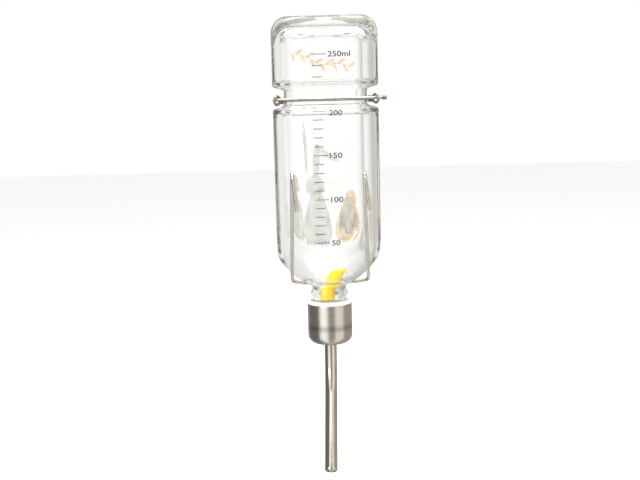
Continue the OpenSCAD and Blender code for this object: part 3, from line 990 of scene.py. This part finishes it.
brushed, brushed_nodes, brushed_shader = new_material("brushed_steel", (0.56, 0.54, 0.51), metallic=1.0,
                                                      roughness=0.3)
dial(brushed_shader, {"Anisotropic": 0.75, "Anisotropic Rotation": 0.25})
tangent = brushed_nodes.new("ShaderNodeTangent")
tangent.direction_type = "UV_MAP"
tangent.uv_map = "wrap"
brushed.node_tree.links.new(tangent.outputs["Tangent"], brushed_shader.inputs["Tangent"])
scratches = place_noise(brushed, 0.22, (0.02, 0.02, 1), detail=6)
blend_colour(brushed, scratches, (0.66, 0.635, 0.59), (0.76, 0.735, 0.69))
# Painted dark reflection: in a band round the cup, a little above its rounded lower edge, the colour is
# multiplied by 0.6.
darken(brushed, band_at(brushed, shell_bottom + 9.8, 2.6), 0.6)
vary_roughness(brushed, place_noise(brushed, 1.6, (0.15, 0.15, 1), detail=5), 0.24, 0.36)
add_bump(brushed, scratches, 0.006, 0.5)
for cap_piece, node, finish, slot in ((liner, "cap_liner", white_plastic, "cap_plastic"),
                                      (shell, "cap_shell", brushed, "brushed_shell")):
    finish_with(cap_piece, finish)
    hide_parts(node)
    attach(cap_piece, "cap")

# %% [markdown]
# ## The drinking tube
# The tube runs down from the cap, bends forward through 40 degrees and ends in a lip that is
# rolled in to hold the valve ball. Its outline is given along the path: how far along, and at
# what radius. It goes down the outside, round the lip and back up the bore.

# %% Tube sweep
tube_r = 3.4
tube_in = 2.9
mouth_r = 2.2
bend_r = 40.0
bend_angle = np.radians(40)
spout = next(m for m in frame["record"]["mounts"] if m["name"] == "spout")
spout_l = spout["dims"]["length_mm"] + 1.18
tube_top = box_mm("drinking_tube")[1][2]
bend_z = lip_z - 1.3
straight_run = tube_top - bend_z
arc_run = bend_r * bend_angle
tube_run = straight_run + arc_run + spout_l
roll = tube_r - mouth_r
home_turn = np.arctan2(spout["axis"][0], -spout["axis"][1])
sideways = np.array([np.cos(home_turn), np.sin(home_turn), 0.0])
forwards = np.array([np.sin(home_turn), -np.cos(home_turn), 0.0])
downwards = np.array([0.0, 0.0, -1.0])


def tube_point(run):
    """Point and direction at a distance along the middle line: straight, arc, straight."""
    turned = np.clip((run - straight_run) / bend_r, 0, bend_angle)[:, None]
    beyond = np.maximum(run - straight_run - arc_run, 0)[:, None]
    down = np.minimum(run, straight_run)[:, None] + bend_r * np.sin(turned) + beyond * np.cos(bend_angle)
    forward = bend_r * (1 - np.cos(turned)) + beyond * np.sin(bend_angle)
    point = np.array([axis_x, axis_y, tube_top]) + forwards * forward + downwards * down
    return point, forwards * np.sin(turned) + downwards * np.cos(turned)


lip_curl = arc((tube_run - roll, mouth_r), roll, 90, 0, 14)
tube_outline = np.vstack([
    [[0, tube_r], [tube_run - roll, tube_r]], lip_curl[1:],
    [[tube_run - 0.05, mouth_r - 0.03], [tube_run - 0.5, mouth_r + 0.02], [tube_run - 0.55, tube_in],
     [0, tube_in]]])
tube_line = spaced(np.vstack([tube_outline, tube_outline[:1]]), 0.1)[:-1]
tube_line = blurred(tube_line, 0.09, 0.1, closed=True)
near_lip = tube_line[:, 0] > tube_run - 3
tube_line = tube_line[near_lip | (np.arange(len(tube_line)) % 8 == 0)]
middle, ahead = tube_point(tube_line[:, 0])
tube_angle = around(56)
upwards = np.cross(ahead, sideways)
tube_ring = (sideways * np.cos(tube_angle)[None, :, None]
             + upwards[:, None] * np.sin(tube_angle)[None, :, None])
tube = surface("steel_tube", middle[:, None] + tube_line[:, 1, None, None] * tube_ring, joined=True)

# %% [markdown]
# The tube is polished, so it is almost a mirror, with very faint lines along it from drawing and
# polishing. The balls are harder and smoother. The washer and the swaged collar are hidden in the
# cap, and keep their CAD shapes with a finish of their own.

# %% Tube, balls, washer and collar
polished, _, _ = new_material("polished_steel", (0.60, 0.57, 0.53), metallic=1.0, roughness=0.1)
blend_colour(polished, place_noise(polished, 9, detail=4), (0.68, 0.65, 0.60), (0.77, 0.74, 0.69))
vary_roughness(polished, place_noise(polished, 3, detail=5), 0.07, 0.15)
add_bump(polished, place_noise(polished, 40, (1, 0.04, 1), detail=2, source="UV"), 0.012, 0.35)
finish_with(tube, polished)
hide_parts("drinking_tube")
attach(tube, "cap")

ball_steel, _ = mottled("ball_steel", (0.62, 0.61, 0.59), (0.56, 0.55, 0.53), (0.68, 0.67, 0.65),
                        (1.5, EVEN, 4), (0.5, 3, 0.004, 0.3), metallic=1.0, roughness=0.08)
washer_rubber, _ = mottled("washer_rubber", (0.46, 0.46, 0.45), (0.38, 0.38, 0.37), (0.54, 0.54, 0.53),
                           (0.9, EVEN, 5), (0.3, 3, 0.02, 0.5), roughness=0.62)
for node, finish in (("tip_ball", ball_steel), ("upper_ball", ball_steel), ("tube_collar", polished),
                     ("cap_seal", washer_rubber)):
    for slot in frame["nodes"][node].material_slots:
        slot.material = finish
print("tube length along its middle, mm:", round(float(tube_run), 1))

# %% [markdown]
# ## The float
# A small yellow duck floats on the water, so that its height shows how much is left. The bottle
# is empty, so it lies in the neck. It is one blow-moulded body, in which the parts flow into
# each other. Each part is an egg: a sphere stretched along its axis and made fuller at one end.
# A voxel remesh melts the overlapping eggs into one skin, and a smooth pass softens the joints.

# %% Shape of the float
float_lean = np.radians(22)
head = np.array([-1.2, 0.0, -67.9])


def egg(name, centre, reach, lean=0.0, fuller=0.0):
    """A sphere stretched to reach, wider towards its top by fuller, then leant about Y."""
    down = np.linspace(0.04, np.pi - 0.04, 30)[:, None]
    round_ = around(40)[None, :]
    up = np.cos(down) + 0 * round_
    wide = np.sin(down) * (1 + fuller * up)
    x, y, z = reach[0] * wide * np.cos(round_), reach[1] * wide * np.sin(round_), reach[2] * up
    x, z = x * np.cos(lean) + z * np.sin(lean), z * np.cos(lean) - x * np.sin(lean)
    x, y, z = x + centre[0], y + centre[1], z + centre[2]
    leant_x = x * np.cos(float_lean) + z * np.sin(float_lean)
    leant_z = z * np.cos(float_lean) - x * np.sin(float_lean)
    return surface(name, np.stack([axis_x + head[0] + leant_x, axis_y + head[1] + y, head[2] + leant_z], -1))


duck_body = join("float_body", [
    egg("breast", (0.2, 0, 9.2), (4.3, 4.3, 8.4), fuller=0.06),
    egg("head", (0, 0, 0.1), (4.1, 4.1, 4.1)),
    egg("nape", (0.3, 0, 3.4), (3.7, 3.6, 3.6)),
    egg("tail", (2.2, 0, 16.0), (1.5, 2.0, 4.0), lean=0.42, fuller=-0.3),
    egg("left_wing", (0.6, 3.4, 9.4), (2.3, 0.9, 5.0), lean=0.1, fuller=-0.15),
    egg("right_wing", (0.6, -3.4, 9.4), (2.3, 0.9, 5.0), lean=0.1, fuller=-0.15)])


def melt(piece, voxel_mm, rounds):
    """Applies a voxel remesh and a smooth pass, so that overlapping shells become one skin."""
    remesh = piece.modifiers.new("remesh", "REMESH")
    remesh.mode = "VOXEL"
    remesh.voxel_size = voxel_mm * MM
    remesh.use_smooth_shade = True
    smooth = piece.modifiers.new("smooth", "SMOOTH")
    smooth.factor = 0.6
    smooth.iterations = rounds
    graph = bpy.context.evaluated_depsgraph_get()
    mesh = bpy.data.meshes.new_from_object(piece.evaluated_get(graph))
    piece.modifiers.clear()
    piece.data = mesh
    mesh.polygons.foreach_set("use_smooth", np.ones(len(mesh.polygons), bool))
    print(f"{piece.name}: melted to {len(mesh.polygons)} faces")


melt(duck_body, 0.28, 6)
bill = join("float_bill", [
    egg("upper_bill", (-3.9, 0, 0.55), (1.5, 1.55, 0.62), lean=-0.1),
    egg("lower_bill", (-3.7, 0, -0.2), (1.25, 1.25, 0.5), lean=0.12)])
melt(bill, 0.15, 3)

# %% [markdown]
# A hollow plastic float lets a little light through at thin edges, so the yellow gets some
# subsurface light and only a soft gloss. The bill is the same plastic with a deeper orange.

# %% Finish of the float
yellow, yellow_shader = mottled("yellow_float", (0.97, 0.70, 0.02), (0.97, 0.64, 0.002), (0.99, 0.70, 0.006),
                                (4, EVEN, 4), (0.8, 3, 0.02, 0.4), roughness=0.28)
dial(yellow_shader, {"Subsurface Weight": 0.2, "Subsurface Radius": (0.003, 0.002, 0.0005),
                     "Specular IOR Level": 0.3})
orange, _ = mottled("orange_bill", (0.85, 0.36, 0.02), (0.78, 0.32, 0.015), (0.90, 0.46, 0.03),
                    (1.5, EVEN, 4), (0.6, 3, 0.02, 0.4), roughness=0.32)
finish_with(duck_body, yellow)
finish_with(bill, orange)
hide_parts("float_duck")
for float_piece in (duck_body, bill):
    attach(float_piece, "float")

# %% [markdown]
# ## Floor, light and camera
# Glass and polished metal show their surroundings more than themselves. A studio for such things
# has a bright white wall behind the glass and dark and bright panels round the metal. The surroundings
# here are painted in the world shader by direction, and each kind of ray sees its own. A mirrored
# ray sees a dark wall on the left, a brown one on the right, a bright, a grey and a cream panel
# from left to right in front, and a bright ceiling. A ray bent by the glass sees pale walls on the
# left, grey ones on the right, and dark overhead and underfoot, which draws the glass's edges. The
# camera sees plain white, and white light falls on matt surfaces. Light goes to and fro inside
# thick glass many times, so its paths are allowed to be long.

# %% The studio as a world
scene = bpy.context.scene
scene.cycles.max_bounces = 40
scene.cycles.glossy_bounces = 32
scene.cycles.transmission_bounces = 32
world = bpy.data.worlds.new("studio")
scene.world = world
world.use_nodes = True
nodes, links = world.node_tree.nodes, world.node_tree.links
backdrop = nodes["Background"]
direction = nodes.new("ShaderNodeTexCoord")
split = nodes.new("ShaderNodeSeparateXYZ")
links.new(direction.outputs["Generated"], split.inputs["Vector"])


def calculate(kind, first, second=None):
    """One Math node. A number or a socket goes to each input."""
    node = nodes.new("ShaderNodeMath")
    node.operation = kind
    for socket, value in zip(node.inputs, (first, second)):
        if isinstance(value, (int, float)):
            socket.default_value = value
        elif value is not None:
            links.new(value, socket)
    return node.outputs[0]


def wall_ramp(value, stops):
    """Colours at places from 0 to 1, blended in between."""
    ramp = nodes.new("ShaderNodeValToRGB")
    ramp.color_ramp.interpolation = "EASE"
    elements = ramp.color_ramp.elements
    elements.remove(elements[1])
    elements[0].position = stops[0][0]
    elements[0].color = (*stops[0][1], 1)
    for position, colour in stops[1:]:
        elements.new(position).color = (*colour, 1)
    links.new(value, ramp.inputs["Fac"])
    return ramp.outputs["Color"]


front = calculate("MULTIPLY", split.outputs["Y"], -1.0)
azimuth = calculate("ARCTAN2", split.outputs["X"], front)
round_share = calculate("ADD", calculate("DIVIDE", azimuth, TURN), 0.5)
EDGE = (0.38, 0.365, 0.345)
WHITE, DARK, PANEL = (1.0, 1.0, 1.0), (0.18, 0.174, 0.155), (1.12, 1.10, 1.06)
GREY, CREAM, BROWN = (0.37, 0.35, 0.32), (0.98, 0.91, 0.80), (0.42, 0.375, 0.33)


def at(degrees):
    """Place on the ramp of an azimuth from the front, positive to the right."""
    return degrees / 360 + 0.5


walls = wall_ramp(round_share, [
    (at(-180), WHITE), (at(-172), EDGE), (at(-140), EDGE), (at(-128), DARK), (at(-66), DARK),
    (at(-52), PANEL), (at(-18), PANEL), (at(-6), GREY), (at(18), GREY), (at(32), CREAM), (at(66), CREAM),
    (at(80), BROWN), (at(128), BROWN), (at(140), EDGE), (at(172), EDGE), (at(180), WHITE)])
height_share = calculate("MULTIPLY", calculate("ADD", split.outputs["Z"], 1.0), 0.5)
upward = wall_ramp(height_share, [(0.5 + 0.5 * 0.90, (0, 0, 0)), (0.5 + 0.5 * 0.99, (1, 1, 1))])


def blend(factor, first, second, kind="MIX"):
    """A colour between two others. Each of the three is a socket or a plain value."""
    node = nodes.new("ShaderNodeMix")
    node.data_type, node.blend_type = "RGBA", kind
    for socket, value in zip((node.inputs[key] for key in ("Factor", "A", "B")), (factor, first, second)):
        if isinstance(value, tuple):
            socket.default_value = (*value, 1)
        elif isinstance(value, float):
            socket.default_value = value
        else:
            links.new(value, socket)
    return node.outputs["Result"]


CEILING, LIT = (1.25, 1.25, 1.25), (1.05, 1.05, 1.05)
CLEAR, PALE = (1.08, 1.08, 1.08), (0.96, 0.96, 0.95)
SHADE, STEEP = (0.60, 0.60, 0.58), (0.36, 0.36, 0.34)
glass_sides = wall_ramp(round_share, [
    (at(-180), CLEAR), (at(-160), PALE), (at(-50), PALE), (at(-20), CLEAR), (at(20), CLEAR), (at(50), SHADE),
    (at(160), SHADE), (at(175), CLEAR), (at(180), CLEAR)])
glass_heights = wall_ramp(height_share, [(0.10, STEEP), (0.24, WHITE), (0.80, WHITE), (0.92, STEEP)])
through_glass = blend(1.0, glass_sides, glass_heights, "MULTIPLY")
sight = nodes.new("ShaderNodeLightPath")
mirrored = blend(upward, walls, CEILING)
refracted = blend(calculate("MULTIPLY", sight.outputs["Is Transmission Ray"], 0.94), mirrored, through_glass)
lit = blend(calculate("GREATER_THAN", sight.outputs["Diffuse Depth"], 0.5), refracted, LIT)
links.new(blend(sight.outputs["Is Camera Ray"], lit, WHITE), backdrop.inputs["Color"])
print("studio walls painted")

# %% [markdown]
# The floor lies well below the bottle, which hangs, so its shadow is soft and out of the way, and
# glass and metal don't see it. Two area lights, a large one overhead and a small one at the front
# left, add highlights.

# %% Floor and lamps
FLOOR_Z = -0.40
floor_half = 6.0
floor_mesh = bpy.data.meshes.new("floor")
floor_mesh.from_pydata([(-floor_half, -floor_half, FLOOR_Z), (floor_half, -floor_half, FLOOR_Z),
                        (floor_half, floor_half, FLOOR_Z), (-floor_half, floor_half, FLOOR_Z)],
                       [], [(0, 1, 2, 3)])
floor = add_object("floor", floor_mesh)
paper, _, _ = new_material("white_paper", (0.94, 0.94, 0.94), roughness=0.9)
blend_colour(paper, place_noise(paper, 40), (0.93, 0.93, 0.93), (0.95, 0.95, 0.95))
finish_with(floor, paper)
floor.visible_glossy = False
floor.visible_transmission = False


def lamp(name, place, aim, size, power):
    """A square area light that looks at a point and isn't seen by the camera."""
    light = bpy.data.lights.new(name, "AREA")
    light.size = size
    light.energy = power
    holder = add_object(name, light)
    holder.location = place
    holder.rotation_euler = (Vector(aim) - Vector(place)).to_track_quat("-Z", "Y").to_euler()
    holder.visible_camera = False


bottle_middle = (axis_x * MM, axis_y * MM, -0.02)
lamp("overhead", (0.1, 0.1, 1.5), bottle_middle, 1.6, 26)
lamp("front_left", (-0.7, -0.9, 0.45), bottle_middle, 0.35, 4)

# %% [markdown]
# The camera stands a little over half a metre away, slightly to the left and above the middle, and
# looks down by eight degrees. As a hand-held camera is, it is also turned a little about its own
# axis. The long lens keeps the upright lines nearly parallel.

# %% Camera
camera_data = bpy.data.cameras.new("camera")
camera_data.sensor_width = 36
camera_data.lens = 56.25
camera_data.clip_start = 0.01
camera = add_object("camera", camera_data)
stand = np.radians(-1.5)
distance = 0.5492
eye_height = 0.0394
camera_place = Vector((axis_x * MM + distance * np.sin(stand), axis_y * MM - distance * np.cos(stand),
                       eye_height))
heading, pitch, roll_angle = np.radians(-1.03), np.radians(7.92), np.radians(-1.45)
camera.matrix_world = (Matrix.Translation(camera_place) @ Matrix.Rotation(heading, 4, "Z")
                       @ Matrix.Rotation(np.pi / 2 - pitch, 4, "X") @ Matrix.Rotation(roll_angle, 4, "Z"))
scene.camera = camera
scene.view_settings.view_transform = "Standard"
print("camera at", [round(v, 3) for v in camera_place])
